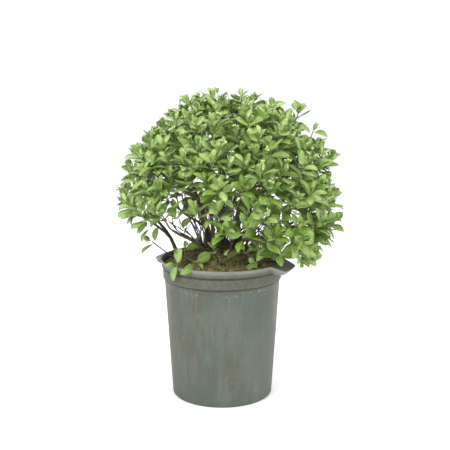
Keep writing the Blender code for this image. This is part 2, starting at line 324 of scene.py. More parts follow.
def ear_reach(turn):
    """How far the two ears stand out from the lip at this angle."""
    longest = RIGHT_EAR_REACH if math.cos(turn - EAR_TURN) > 0.0 else LEFT_EAR_REACH
    apart = math.remainder(turn - EAR_TURN, math.pi)
    share = (EAR_HALF_SPAN - abs(apart)) / (EAR_HALF_SPAN * (1.0 - EAR_FLAT))
    share = min(max(share, 0.0), 1.0)
    return longest * share * share * (3.0 - 2.0 * share)


def pot_mesh():
    """The lathed wall, a little out of round, with its ears."""
    rings = []
    for radius, height, ear in pot_rounds():
        ring = []
        for step in range(POT_STEPS):
            turn = math.tau * step / POT_STEPS
            lift = height / pot_height
            wave = math.sin(3.0 * turn + 0.7) + 0.6 * math.sin(5.0 * turn + 2.0 + 2.0 * lift)
            out = POT_WAVE * wave * lift * (1.0 - 0.5 * lift) if 0.02 < height < pot_height - 0.02 else 0.0
            reach = ear * ear_reach(turn)
            ring.append(heading(turn) * (radius + out + reach) + UP * (height - EAR_DROOP * reach))
        rings.append(ring)
    builder = bmesh.new()
    add_rings(builder, rings)
    return builder


def drain_cutter():
    """Upright pegs where water drains through the floor."""
    builder = bmesh.new()
    for step in range(DRAIN_HOLES):
        place = heading(math.tau * (step + 0.5) / DRAIN_HOLES) * DRAIN_CIRCLE
        peg = bmesh.ops.create_cone(builder, cap_ends=True, segments=24, radius1=DRAIN_RADIUS,
                                    radius2=DRAIN_RADIUS, depth=0.02)
        bmesh.ops.translate(builder, verts=peg["verts"], vec=place)
    return stand("drain pegs", mesh_of("drain pegs", builder))


def applied(piece):
    """Give a piece the mesh that its modifiers make, and take them off."""
    bpy.context.view_layer.update()
    graph = bpy.context.evaluated_depsgraph_get()
    made = bpy.data.meshes.new_from_object(piece.evaluated_get(graph), preserve_all_data_layers=True,
                                           depsgraph=graph)
    piece.modifiers.clear()
    piece.data = made
    return piece


def pot_finish():
    """Weathered grey-green plastic: brown in patches, streaked and rubbed at its lip, with painted shade in its
    grooves and on its sides, painted light on its ears and a painted sheen on two sides.
    """
    finish = Finish("weathered pot plastic")
    sideways, ahead, up = (finish.split(finish.place(), axis) for axis in range(3))
    aside = abs(sideways)
    on_ear = finish.maths("MAXIMUM", finish.maths("SQRT", aside * aside + ahead * ahead) - lip_radius, 0.0)
    height = up + on_ear * EAR_DROOP
    broad = finish.noise(0.075, scale=(1.0, 1.0, 0.55))
    stain = finish.noise(0.048, scale=(1.0, 1.0, 0.40), detail=5.0, rough=0.65)
    streaks = finish.noise(0.009, scale=(1.0, 1.0, 0.09), detail=5.0, rough=0.6)
    mottle = finish.noise(0.006, detail=6.0, rough=0.75)
    finish.ground(broad.step(0.40, 0.62), GREEN_PLASTIC, GREY_PLASTIC)
    finish.paint((stain + sideways * -0.9).step(0.50, 0.62) * 0.78, BROWN_STAIN)
    # painted shade: the wall darker towards its left and right sides
    finish.paint(aside.step(0.05, 0.115) * 0.38, PAINTED_SIDE_SHADE)
    finish.paint(streaks.step(0.50, 0.72) * 0.40, PALE_STREAK)
    finish.paint(streaks.step(0.48, 0.30) * 0.42, DARK_STREAK)
    finish.paint(mottle.step(0.52, 0.80) * 0.50, PALE_MOTTLE)
    finish.paint(mottle.step(0.46, 0.25) * 0.40, DARK_MOTTLE)
    # the band between collar and lip has browned; painted shade lies under the lip and under the collar, and the
    # wall darkens in patches towards the foot
    band = height.between(collar_bottom, collar_bottom + 0.003, lip_bottom, lip_bottom + 0.002)
    smears = finish.noise(0.011, scale=(1.0, 1.0, 1.6), detail=6.0, rough=0.7)
    finish.paint(band * 0.72, BROWNED_COLLAR)
    finish.paint(band * smears.step(0.50, 0.68) * 0.55, PALE_SMEAR)
    finish.paint(band * smears.step(0.48, 0.34) * 0.55, DARK_SMEAR)
    # painted shade: dark lines under the lip and under the collar, and darker patches towards the foot
    under_lip = height.between(lip_bottom - 0.0062, lip_bottom - 0.0022, lip_bottom, lip_bottom + 0.003)
    under_band = height.between(collar_bottom - 0.004, collar_bottom, collar_bottom + 0.001,
                                collar_bottom + 0.003)
    painted_groove_shade_and_dark_foot = (under_lip + under_band) * (0.55 + 0.9 * finish.noise(0.022))
    painted_groove_shade_and_dark_foot = (painted_groove_shade_and_dark_foot + height.step(0.045, 0.002) * 0.35 * stain).step(0.0, 1.0)
    finish.paint(painted_groove_shade_and_dark_foot * 0.85, PAINTED_GROOVE_SHADE_AND_DARK_FOOT)
    # the lip and the ears are bleached and rubbed; the ears get painted light on top, and a pale painted sheen
    # lies on the left and right sides, streaked like lime dried from watering
    rubbed = height.step(lip_bottom + 0.004, pot_height - 0.003) * (0.20 + 0.95 * finish.noise(0.016))
    finish.paint(rubbed * 0.75, BLEACHED_LIP)
    # painted light: the ears brightened further, on top of their bleaching
    finish.paint(on_ear.step(0.0015, 0.008) * 0.40, BLEACHED_EAR_AND_PAINTED_LIGHT)
    # painted sheen: pale streaks on the left and right sides, as dried lime
    patchy = aside + (finish.noise(0.05, detail=5.0) - 0.5) * 0.010
    runs = finish.noise(0.010, scale=(1.0, 1.0, 0.06), detail=6.0, rough=0.7)
    lime_and_painted_sheen = patchy.step(0.119, 0.136) * height.between(0.105, 0.230, collar_bottom - 0.004, collar_bottom)
    finish.paint(lime_and_painted_sheen * (0.16 + 0.75 * runs.step(0.40, 0.62)) * 0.48, LIME_AND_PAINTED_SHEEN)
    # dried mud: scuffs under the collar, and small flecks and drips in a few places
    under_collar = height.between(collar_bottom - 0.024, collar_bottom - 0.014, collar_bottom - 0.008,
                                  collar_bottom - 0.003)
    scuffs = finish.noise(0.016, scale=(1.0, 1.0, 2.6), detail=6.0, rough=0.7).step(0.56, 0.62) * under_collar
    splashed = finish.noise(0.040, scale=(1.0, 1.0, 0.35), detail=3.0).step(0.54, 0.60)
    flecks = finish.noise(0.0026, scale=(1.0, 1.0, 0.7), detail=2.0).step(0.66, 0.72) * splashed
    drips = finish.noise(0.006, scale=(1.0, 1.0, 0.12), detail=3.0).step(0.68, 0.74)
    finish.paint((scuffs * 0.8 + flecks).step(0.0, 1.0) * 0.70, DRIED_MUD)
    finish.paint(drips * finish.noise(0.050).step(0.50, 0.60) * 0.50, DRIED_DRIP)
    finish.set(Base_Color=finish.colour, Roughness=0.46 + 0.25 * mottle + 0.20 * painted_groove_shade_and_dark_foot)
    finish.bump(mottle * 0.5 + streaks * 0.5, 0.0006, 0.6)
    return finish.material


pot = make_piece("nursery_pot", pot_mesh(), pot_finish(), "pot_plastic", "pot")
drain_pegs = drain_cutter()
drain = pot.modifiers.new("drain holes", "BOOLEAN")
drain.object = drain_pegs
applied(pot)
bpy.data.objects.remove(drain_pegs)


# ---- Potting soil -------------------------------------------------------------------------------
# Moist compost of peat and composted bark that fills the pot. It is heaped around the stems, has slumped a
# little to one side, and carries loose crumbs and bark chips.

SOIL_STEPS = 144
SOIL_RINGS = 46
SOIL_HEAP = 0.040
SOIL_TILT_RIGHT = 0.007
SOIL_TILT_FRONT = 0.0045
SOIL_ROUGHNESS = 0.0032         # height of its crumbs and hollows
CRUMBS_PER_SQUARE_METRE = 22000.0
COMPOST_DARK = (0.085, 0.070, 0.016)
COMPOST_DRY = (0.440, 0.355, 0.185)
COMPOST_DAMP = (0.034, 0.028, 0.006)
GRAIN_PALE = (0.260, 0.215, 0.130)

soil_low, soil_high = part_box("potting_soil")
soil_radius = soil_high.y
soil_edge = pot_height - 0.009


def soil_height(x, y):
    """Height of the heaped soil above a point of the pot's plan."""
    inside = max(0.0, 1.0 - (x * x + y * y) / soil_radius ** 2)
    tilt = SOIL_TILT_RIGHT * x / soil_radius - SOIL_TILT_FRONT * y / soil_radius
    clods = noise.fractal(Vector((x, y, 0.3)) * 70.0, 0.8, 2.1, 5)
    settled = min(1.0, 8.0 * inside + 0.15)
    return soil_edge + SOIL_HEAP * inside ** 1.3 + tilt + SOIL_ROUGHNESS * clods * settled


def soil_ring(radius, height=None):
    """A round of the soil, level at a height or lying on the heap."""
    ring = []
    for step in range(SOIL_STEPS):
        place = heading(math.tau * step / SOIL_STEPS) * radius
        ring.append(place + UP * (soil_height(place.x, place.y) if height is None else height))
    return ring


def soil_mesh():
    """The whole plug of soil: its sides follow the pot, and its top is heaped."""
    rings = [soil_ring(0.03, soil_low.z), soil_ring(base_radius - 0.0062, soil_low.z),
             soil_ring(base_radius - POT_WALL - 0.0012, 0.011),
             soil_ring(neck_radius - POT_WALL - 0.0010, collar_bottom - 0.0014),
             soil_ring(neck_radius + 0.0006, collar_bottom + 0.0045)]
    rings += [soil_ring(soil_radius * (1.0 - step / SOIL_RINGS) ** 0.9) for step in range(SOIL_RINGS)]
    builder = bmesh.new()
    add_rings(builder, rings)
    return builder


def soil_finish():
    """Dark compost with paler, drier crumbs."""
    finish = Finish("moist potting soil")
    crumbs = finish.noise(0.004, detail=6.0, rough=0.7)
    damp = finish.noise(0.013, detail=4.0)
    grains = finish.cells(0.0035)
    colour = finish.mix(crumbs.step(0.30, 0.72), COMPOST_DARK, COMPOST_DRY)
    colour = finish.mix(damp.step(0.46, 0.58) * 0.75, colour, COMPOST_DAMP)
    colour = finish.mix(grains.step(0.20, 0.05) * crumbs.step(0.50, 0.58), colour, GRAIN_PALE)
    finish.set(Base_Color=colour, Roughness=0.80 + 0.18 * crumbs)
    finish.bump(crumbs + grains * 0.4, 0.0022, 0.9)
    return finish.material


def crumb_kinds():
    """A few crumbs and bark chips, as a hidden collection to scatter from."""
    chance = random.Random(3)
    kinds = bpy.data.collections.new("crumb kinds")
    for number, flat in enumerate((0.85, 0.6, 0.35, 0.22)):
        builder = bmesh.new()
        bmesh.ops.create_icosphere(builder, subdivisions=1, radius=0.5)
        for corner in builder.verts:
            lump = 1.0 + 0.35 * noise.noise(corner.co * 2.6 + Vector((number * 7.0, 0.0, 0.0)))
            narrowed = corner.co.y * chance.uniform(0.65, 0.75)
            corner.co = Vector((corner.co.x, narrowed, corner.co.z * flat)) * lump
        name = f"crumb {number}"
        kinds.objects.link(bpy.data.objects.new(name, mesh_of(name, builder)))
    return kinds


class Growth(Wiring):
    """A Geometry Nodes tree with named inputs, run once on a piece."""

    def __init__(self, name, inputs):
        super().__init__(bpy.data.node_groups.new(name, "GeometryNodeTree"))
        face = self.tree.interface
        face.new_socket("Geometry", in_out="INPUT", socket_type="NodeSocketGeometry")
        for label, kind in inputs.items():
            face.new_socket(label, in_out="INPUT", socket_type=f"NodeSocket{kind}")
        face.new_socket("Geometry", in_out="OUTPUT", socket_type="NodeSocketGeometry")
        self.entrance = self.tree.nodes.new("NodeGroupInput")

    def given(self, label):
        """One of the tree's own inputs."""
        return Value(self, self.entrance.outputs[label])

    def named(self, label, kind="FLOAT"):
        """An attribute that the geometry brings with it."""
        return self.add("GeometryNodeInputNamedAttribute", {"data_type": kind}, {"Name": label})

    def chance(self, low, high, seed, kind="FLOAT"):
        """A random value for each element."""
        firsts = {"FLOAT": (2, 3, 1), "FLOAT_VECTOR": (0, 1, 0), "INT": (4, 5, 2)}
        low_at, high_at, output = firsts[kind]
        return self.add("FunctionNodeRandomValue", {"data_type": kind},
                        {low_at: low, high_at: high, "Seed": seed}, output=output)

    def give(self, geometry):
        """The tree's result."""
        leaving = self.tree.nodes.new("NodeGroupOutput")
        self.feed(leaving.inputs["Geometry"], geometry)

    def run(self, piece, **values):
        """Put the tree on a piece with its inputs set, and keep the mesh that it makes."""
        modifier = piece.modifiers.new(self.tree.name, "NODES")
        modifier.node_group = self.tree
        for item in self.tree.interface.items_tree:
            key = item.name.replace(" ", "_")
            if item.in_out == "INPUT" and key in values:
                modifier[item.identifier] = values[key]
        return applied(piece)


def scatter_growth():
    """Crumbs scattered over a surface, each with its own turn and size."""
    growth = Growth("scatter crumbs", {"Kinds": "Collection", "Density": "Float", "Smallest": "Float",
                                       "Largest": "Float", "Finish": "Material", "Seed": "Int"})
    points = growth.add("GeometryNodeDistributePointsOnFaces", {"distribute_method": "RANDOM"},
                        {"Mesh": growth.given("Geometry"), "Density": growth.given("Density"),
                         "Seed": growth.given("Seed")})
    kinds = growth.add("GeometryNodeCollectionInfo", None,
                       {"Collection": growth.given("Kinds"), "Separate Children": True,
                         "Reset Children": True})
    turn = growth.chance((0.0, 0.0, 0.0), (math.tau,) * 3, growth.given("Seed"), "FLOAT_VECTOR")
    share = growth.chance(0.0, 1.0, growth.given("Seed"))
    size = growth.given("Smallest") + (growth.given("Largest") - growth.given("Smallest")) * share ** 3.0
    placed = growth.add("GeometryNodeInstanceOnPoints", None,
                        {"Points": points, "Instance": kinds, "Pick Instance": True,
                         "Rotation": turn, "Scale": size})
    made = growth.add("GeometryNodeRealizeInstances", None, {"Geometry": placed})
    growth.give(growth.add("GeometryNodeSetMaterial", None,
                           {"Geometry": made, "Material": growth.given("Finish")}))
    return growth


def top_of_soil():
    """The soil's open surface alone, to scatter crumbs over."""
    builder = bmesh.new()
    shares = (0.985, 0.85, 0.7, 0.55, 0.4, 0.25, 0.1)
    add_rings(builder, [soil_ring(soil_radius * share) for share in shares], close_ends=False)
    return builder


soil_material = soil_finish()
make_piece("potting_compost", soil_mesh(), soil_material, "potting_soil", "potting_soil")
crumbs = make_piece("soil_crumbs", top_of_soil(), soil_material, "potting_soil")
scatter_growth().run(crumbs, Kinds=crumb_kinds(), Density=CRUMBS_PER_SQUARE_METRE, Smallest=0.0016,
                     Largest=0.0110, Finish=soil_material, Seed=4)


# ---- Stems --------------------------------------------------------------------------------------
# The woody stems fan out of the soil and fork into the crown. Each is one grown piece, kept as the model
# has it, with its faceted limbs grown round, slightly swollen at the leaf scars, and covered in finely
# cracked bark.

STEM_GRAIN = 0.0011             # size of the cells that the round stems are built from
SCAR_SPACING = 0.024
SCAR_SWELL = 0.00035
BARK_ROUGHNESS = 0.00045
BARK_DARK = (0.032, 0.025, 0.011)
BARK_PALE = (0.125, 0.100, 0.058)
BARK_OLIVE = (0.080, 0.072, 0.036)
LICHEN = (0.210, 0.200, 0.150)


def bark_finish():
    """Grey-brown bark with fine cracks, olive blotches and specks of lichen."""
    finish = Finish("stem bark")
    cracks = finish.noise(0.0022, scale=(1.0, 1.0, 0.22), detail=6.0, rough=0.7)
    blotches = finish.noise(0.018, detail=3.0)
    lichen = finish.noise(0.009, detail=5.0, rough=0.7)
    colour = finish.mix(cracks.step(0.35, 0.66), BARK_DARK, BARK_PALE)
    colour = finish.mix(blotches.step(0.48, 0.64) * 0.5, colour, BARK_OLIVE)
    colour = finish.mix(lichen.step(0.60, 0.74) * 0.55, colour, LICHEN)
    finish.set(Base_Color=colour, Roughness=0.70 + 0.22 * cracks)
    finish.bump(cracks, 0.0009, 0.8)
    return finish.material


def merged_copy(node, name):
    """A copy of a CAD node's mesh with its loose triangles joined."""
    builder = bmesh.new()
    builder.from_mesh(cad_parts[node].data)
    bmesh.ops.remove_doubles(builder, verts=builder.verts, dist=0.00001)
    return stand(name, mesh_of(name, builder))


def round_stem(node, name, finish):
    """A stem or twig with round limbs, leaf scars and bark."""
    stem = merged_copy(node, name)
    rounding = stem.modifiers.new("round", "REMESH")
    rounding.mode = "VOXEL"
    rounding.voxel_size = STEM_GRAIN
    easing = stem.modifiers.new("ease", "SMOOTH")
    easing.factor = 0.5
    easing.iterations = 5
    applied(stem)
    mesh = stem.data
    mesh.materials.clear()
    mesh.materials.append(finish)
    places = [corner.co.copy() for corner in mesh.vertices]
    outs = [corner.normal.copy() for corner in mesh.vertices]
    moved = []
    for place, out in zip(places, outs):
        wobble = noise.noise(place * 30.0) * 2.0
        scar = max(0.0, math.cos(math.tau * (place.z / SCAR_SPACING + wobble))) ** 6
        bark = noise.fractal(Vector((place.x * 420.0, place.y * 420.0, place.z * 110.0)), 0.7, 2.0, 3)
        moved.extend(place + out * (0.0002 + scar * SCAR_SWELL + bark * BARK_ROUGHNESS))
    mesh.vertices.foreach_set("co", moved)
    mesh.update()
    mesh.polygons.foreach_set("use_smooth", [True] * len(mesh.polygons))
    return settle(stem, "bark", node)


bark_material = bark_finish()
stem_nodes = sorted(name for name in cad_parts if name.startswith(("stem_", "low_twig_")))
for node_name in stem_nodes:
    round_stem(node_name, node_name.replace("stem_", "woody_stem_").replace("low_twig", "low_woody_twig"),
               bark_material)


# ---- Young shoots -------------------------------------------------------------------------------
# Each limb ends in a spray of shoots: this and last year's growth, brown at its foot and green towards the tip,
# forking twice on its way to the outside of the crown, where every shoot carries its leaves.

CROWN_HEART = Vector((0.015, 0.0, 0.42))
CROWN_MIDDLE = Vector((0.020, 0.0, 0.455))
CROWN_REACH = Vector((0.251, 0.235, 0.268))     # how far shoot tips stand from its middle
CROWN_TUCK = 0.20               # how much narrower its right side is below than in the middle
TOP_SPACING = 0.033             # between neighbouring shoot tips
SIDE_SPACING = 0.041
INNER_SPACING = 0.066
INNER_FROM_HEIGHT = 0.52
OUTER_DEPTH = (0.010, 0.036)    # how far tips are sunk under the model's surface
INNER_DEPTH = (0.050, 0.080)
OUTER_FACING = 0.30             # how squarely a face has to look outward to bear a tip
INNER_FACING = 0.10
TRIES_PER_SPRAY = 420
CROWN_SQUARENESS = 2.20         # 2 would be an ellipsoid
STRAY_SHOOTS = (                # shoots that stand clear of the outline: tip, way it points, vigour, pairs
    (Vector((0.182, -0.01, 0.702)), Vector((0.15, -0.2, 1.0)), 1.05, 3),
    (Vector((0.218, -0.01, 0.655)), Vector((0.45, -0.2, 1.0)), 0.95, 2),
    (Vector((-0.010, 0.0, 0.740)), Vector((-0.20, 0.0, 1.0)), 0.65, 2),
    (Vector((-0.232, -0.02, 0.475)), Vector((-1.0, -0.5, -0.1)), 1.00, 2),
    (Vector((-0.080, -0.02, 0.722)), Vector((-0.35, -0.2, 1.0)), 0.85, 3),
    (Vector((-0.054, 0.01, 0.733)), Vector((-0.15, 0.1, 1.0)), 0.75, 3),
    (Vector((0.046, -0.02, 0.732)), Vector((0.10, -0.3, 1.0)), 0.85, 3),
    (Vector((0.078, 0.00, 0.728)), Vector((0.30, 0.1, 1.0)), 0.80, 3),
)
RIM_SHOOTS = (                  # shoots by the rim: spray, tip, way it points, vigour, pairs
    (1, Vector((-0.108, -0.118, 0.352)), Vector((-0.5, -0.9, 0.10)), 0.95, 2),
    (1, Vector((-0.088, -0.098, 0.388)), Vector((0.3, -0.5, 1.0)), 0.95, 2),
    (1, Vector((-0.060, -0.118, 0.357)), Vector((0.7, -0.8, 0.15)), 1.00, 2),
    (2, Vector((-0.020, -0.128, 0.392)), Vector((-0.3, -0.4, 1.0)), 0.85, 2),
    (2, Vector((0.000, -0.130, 0.376)), Vector((0.9, -0.3, 0.8)), 1.00, 1),
    (3, Vector((0.050, -0.118, 0.385)), Vector((-0.3, -0.6, 0.8)), 1.00, 2),
    (3, Vector((0.076, -0.128, 0.358)), Vector((-0.1, -1.0, 0.15)), 0.95, 2),
    (3, Vector((0.088, -0.115, 0.390)), Vector((0.4, -0.6, 1.0)), 1.00, 3),
    (4, Vector((0.135, -0.070, 0.352)), Vector((0.6, -0.9, 0.20)), 0.90, 2),
    (4, Vector((0.122, -0.055, 0.388)), Vector((0.1, -0.7, 0.9)), 1.00, 3),
)
LONE_SHOOT = (Vector((-0.170, -0.03, 0.388)), Vector((-0.8, -0.5, 0.6)), 0.95, 2)
LONE_SHOOT_FOOT = Vector((-0.120, -0.01, 0.345))
SKIRT_FRONT = 0.456             # where the foliage ends below
SKIRT_LEFT = 0.460
SKIRT_RIGHT = 0.352
SKIRT_BACK = 0.408
EAR_SHOWS = 0.034               # how much higher it ends over the front of the right ear
LIMB_TIP_THICKNESS = 0.0024
SHOOT_THICKNESS = 0.0017
SHOOT_TIP_THICKNESS = 0.0011
SHOOT_SIDES = 6
TWIG_DARK = (0.070, 0.055, 0.034)
TWIG_PALE = (0.205, 0.175, 0.125)
GREEN_WOOD_DARK = (0.120, 0.185, 0.050)
GREEN_WOOD_PALE = (0.210, 0.290, 0.100)


class Shoot:
    """One shoot: its tip, the way it points, and how light, strong and many its leaves are."""

    def __init__(self, spray, tip, axis, tone, vigour, pairs):
        self.spray = spray
        self.tip = tip
        self.axis = axis
        self.tone = tone
        self.vigour = vigour
        self.pairs = pairs
        self.foot = None


def face_samples(mesh, amount, chance):
    """Points spread over a mesh by area, each with its face's normal."""
    faces = list(mesh.polygons)
    areas = [face.area for face in faces]
    for face in chance.choices(faces, weights=areas, k=amount):
        first, second, third = (mesh.vertices[corner].co for corner in face.vertices[:3])
        along, across = chance.random(), chance.random()
        if along + across > 1.0:
            along, across = 1.0 - along, 1.0 - across
        yield first + (second - first) * along + (third - first) * across, face.normal.copy()


def spread_tips(spray, spacing, depth, taken, chance, facing):
    """Shoot tips of one spray, evenly spaced over its outer side and sunk by a random depth."""
    low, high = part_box(spray)
    middle = (low + high) / 2.0
    for place, normal in face_samples(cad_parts[spray].data, TRIES_PER_SPRAY, chance):
        outward = (place - CROWN_HEART).normalized()
        if normal.dot(outward) < facing:
            continue
        place = drawn_in(place - outward * chance.uniform(*depth))
        if all((place - other).length > spacing(place) for other in taken):
            taken.append(place)
            yield place, outward, middle


def drawn_in(place):
    """The place itself, or where the crown's round outline lies in front of it."""
    offset = place - CROWN_MIDDLE
    tuck = 1.0 - CROWN_TUCK * climb(-offset.z, 0.01, 0.10) * climb(offset.x, 0.0, 0.05)
    shares = (abs(offset.x) / (CROWN_REACH.x * tuck), abs(offset.y) / CROWN_REACH.y,
              abs(offset.z) / CROWN_REACH.z)
    far = sum(share ** CROWN_SQUARENESS for share in shares) ** (1.0 / CROWN_SQUARENESS)
    return CROWN_MIDDLE + offset / far if far > 1.0 and place.z > SKIRT_RIGHT else place


def climb(value, low, high):
    """0 below low and 1 above high, with a straight climb between them."""
    return min(max((value - low) / (high - low), 0.0), 1.0)


def skirt_height(place):
    """How low the foliage hangs: to the rim on the right, and higher on the other sides."""
    height = SKIRT_FRONT + (SKIRT_BACK - SKIRT_FRONT) * climb(place.y, -0.10, 0.10)
    height += (SKIRT_LEFT - height) * climb(-place.x, 0.08, 0.16)
    right = SKIRT_RIGHT + EAR_SHOWS * climb(-place.y, -0.02, 0.05) * climb(-place.x, -0.205, -0.175)
    return height + (right - height) * climb(place.x, 0.03, 0.13)


def tip_spacing(place):
    """Shoots stand close in the top and wider apart in the sides."""
    return TOP_SPACING + (SIDE_SPACING - TOP_SPACING) * climb(-place.z, -0.60, -0.50)


def stray(chance, reach):
    """A random offset."""
    return Vector([chance.uniform(-reach, reach) for _ in range(3)])


def lay_out_shoots():
    """Every shoot of the bush, spray by spray."""
    chance = random.Random(21)
    shoots = []
    outer, inner = [], []
    for spray in sorted(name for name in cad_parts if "leaf_spray" in name):
        if spray.startswith("low_"):
            continue
        tips = list(spread_tips(spray, tip_spacing, OUTER_DEPTH, outer, chance, OUTER_FACING))
        above = [tip for tip in tips if tip[0].z > skirt_height(tip[0])]
        for place, outward, middle in above or [max(tips, key=lambda tip: tip[0].z)]:
            if chance.random() < 0.10:
                place = place + outward * chance.uniform(0.008, 0.022)
            lift = 0.95 if place.z > 0.42 else 0.40
            leaning = outward * 0.75 + UP * lift + (place - middle).normalized() * 0.2
            axis = (leaning + stray(chance, 0.30)).normalized()
            height = climb(place.z, 0.35, 0.75)
            tone = 0.30 + 0.46 * height + chance.uniform(-0.28, 0.28)
            shoots.append(Shoot(spray, place, axis, tone, chance.uniform(0.92, 1.10) - 0.12 * height,
                                chance.choice((4, 5, 5))))
        within = spread_tips(spray, lambda _: INNER_SPACING, INNER_DEPTH, inner, chance, INNER_FACING)
        for place, outward, _ in within:
            if place.z < INNER_FROM_HEIGHT - 0.06 * climb(place.y, 0.0, 0.08):
                continue
            axis = (outward + UP * 0.5 + stray(chance, 0.4)).normalized()
            # the inner shoots' leaves get the darkest tones: older leaves, and painted shade inside the crown
            shoots.append(Shoot(spray, place, axis, chance.uniform(0.0, 0.30), chance.uniform(0.9, 1.05), 3))
    for number, tip, axis, vigour, pairs in RIM_SHOOTS:
        tone = chance.uniform(0.4, 0.8)
        shoots.append(Shoot(f"low_leaf_spray_{number}", tip, axis.normalized(), tone, vigour, pairs))
    for tip, axis, vigour, pairs in STRAY_SHOOTS + (LONE_SHOOT,):
        near = min(shoots, key=lambda shoot: (shoot.tip - tip).length)
        shoots.append(Shoot(near.spray, tip, axis.normalized(), 0.55, vigour, pairs))
    shoots[-1].foot = LONE_SHOOT_FOOT
    return shoots


def limb_tip(spray, corners):
    """Where the model's limb reaches a spray: the stem corners nearest to the spray's middle."""
    low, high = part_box(spray)
    middle = (low + high) / 2.0
    nearest = min(corners, key=lambda corner: (corner - middle).length)
    close = [corner for corner in corners if (corner - nearest).length < 0.006]
    return sum(close, Vector()) / len(close), (middle - nearest).normalized()


def bent(start, leave, arrive, end, steps):
    """Points along the cubic curve through two ends with two handles."""
    points = []
    for step in range(steps + 1):
        share = step / steps
        rest = 1.0 - share
        points.append(start * rest ** 3 + leave * 3.0 * rest ** 2 * share
                      + arrive * 3.0 * rest * share ** 2 + end * share ** 3)
    return points


def line_piece(name, lines):
    """An object of open lines whose points carry a thickness and an age, ready to be made round."""
    mesh = bpy.data.meshes.new(name)
    corners, links, thick, age = [], [], [], []
    for line in lines:
        for index, (point, thickness, oldness) in enumerate(line):
            if index:
                links.append((len(corners) - 1, len(corners)))
            corners.append(point)
            thick.append(thickness)
            age.append(oldness)
    mesh.from_pydata(corners, links, [])
    for label, values in (("thickness", thick), ("age", age)):
        mesh.attributes.new(label, "FLOAT", "POINT").data.foreach_set("value", values)
    return stand(name, mesh)


def tube_growth():
    """Lines made into round, tapering wood."""
    growth = Growth("grow wood", {"Sides": "Int", "Finish": "Material"})
    curve = growth.add("GeometryNodeMeshToCurve", None, {"Mesh": growth.given("Geometry")})
    ring = growth.add("GeometryNodeCurvePrimitiveCircle", None,
                      {"Resolution": growth.given("Sides"), "Radius": 1.0})
    wood = growth.add("GeometryNodeCurveToMesh", None,
                      {"Curve": curve, "Profile Curve": ring, "Scale": growth.named("thickness"),
                       "Fill Caps": True})
    wood = growth.add("GeometryNodeSetShadeSmooth", None, {"Geometry": wood, "Shade Smooth": True})
    growth.give(growth.add("GeometryNodeSetMaterial", None,
                           {"Geometry": wood, "Material": growth.given("Finish")}))
    return growth


def shoot_lines(shoots, corners):
    """Limbs' continuations: from each limb's tip to forks, and from the forks to every shoot's tip."""
    chance = random.Random(8)
    lines = []
    for spray in sorted({shoot.spray for shoot in shoots}):
        start, growth = limb_tip(spray, corners)
        waiting = [shoot for shoot in shoots if shoot.spray == spray and not shoot.foot]
        while waiting:
            first = waiting.pop(0)
            waiting.sort(key=lambda shoot: (shoot.tip - first.tip).length)
            group = [first] + waiting[:2]
            waiting = waiting[2:]
            middle = sum((shoot.tip for shoot in group), Vector()) / len(group)
            fork = start.lerp(middle, 0.42) + UP * chance.uniform(-0.004, 0.006)
            reach = (fork - start).length
            toward = (middle - start).normalized()
            first_part = bent(start - growth * 0.002, start + growth * reach * 0.4,
                              fork - toward * reach * 0.35, fork, 4)
            lines.append([(point, LIMB_TIP_THICKNESS - 0.0007 * step / 4.0, 1.0 - 0.35 * step / 4.0)
                          for step, point in enumerate(first_part)])
            for shoot in group:
                reach = (shoot.tip - fork).length
                sway = Vector([chance.uniform(-0.12, 0.12) for _ in range(3)]) * reach
                path = bent(fork, fork + toward * reach * 0.35 + sway,
                                  shoot.tip - shoot.axis * reach * 0.38, shoot.tip, 6)
                lines.append([(point, SHOOT_THICKNESS + (SHOOT_TIP_THICKNESS - SHOOT_THICKNESS) * step / 6.0,
                               0.80 - 0.70 * step / 6.0) for step, point in enumerate(path)])
    for shoot in shoots:
        if shoot.foot:
            foot = min(corners, key=lambda corner: (corner - shoot.foot).length)
            path = bent(foot, foot.lerp(shoot.tip, 0.4) - UP * 0.004, shoot.tip - shoot.axis * 0.015,
                              shoot.tip, 6)
            lines.append([(point, SHOOT_THICKNESS, 0.9 - 0.5 * step / 6.0)
                          for step, point in enumerate(path)])
    return lines


def shoot_finish():
    """Brown twig bark that turns into the smooth green skin of the young wood."""
    finish = Finish("young shoot bark")
    age = finish.add("ShaderNodeAttribute", {"attribute_name": "age"}, output="Fac")
    cracks = finish.noise(0.0018, scale=(1.0, 1.0, 0.4), detail=5.0, rough=0.65)
    brown = finish.mix(cracks.step(0.35, 0.68), TWIG_DARK, TWIG_PALE)
    green = finish.mix(cracks.step(0.30, 0.70), GREEN_WOOD_DARK, GREEN_WOOD_PALE)
    colour = finish.mix((age + (cracks - 0.5) * 0.3).step(0.10, 0.50), green, brown)
    finish.set(Base_Color=colour, Roughness=0.50 + 0.35 * age.step(0.1, 0.6))
    finish.bump(cracks, 0.0004, 0.6)
    return finish.material


stem_corners = [corner.co.copy() for node in stem_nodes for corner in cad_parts[node].data.vertices]
shoots = lay_out_shoots()
shoot_material = shoot_finish()
wood = tube_growth()
shoot_wood = line_piece("young_shoots", shoot_lines(shoots, stem_corners))
wood.run(shoot_wood, Sides=SHOOT_SIDES, Finish=shoot_material)
settle(shoot_wood, "bark")


# ---- Leaves -------------------------------------------------------------------------------------
# Leathery evergreen leaves, widest past the middle, with finely scalloped edges, a pale midrib and a short stalk.
# They stand in crossed pairs, crowded towards each shoot's tip, folded along the midrib and curled back.

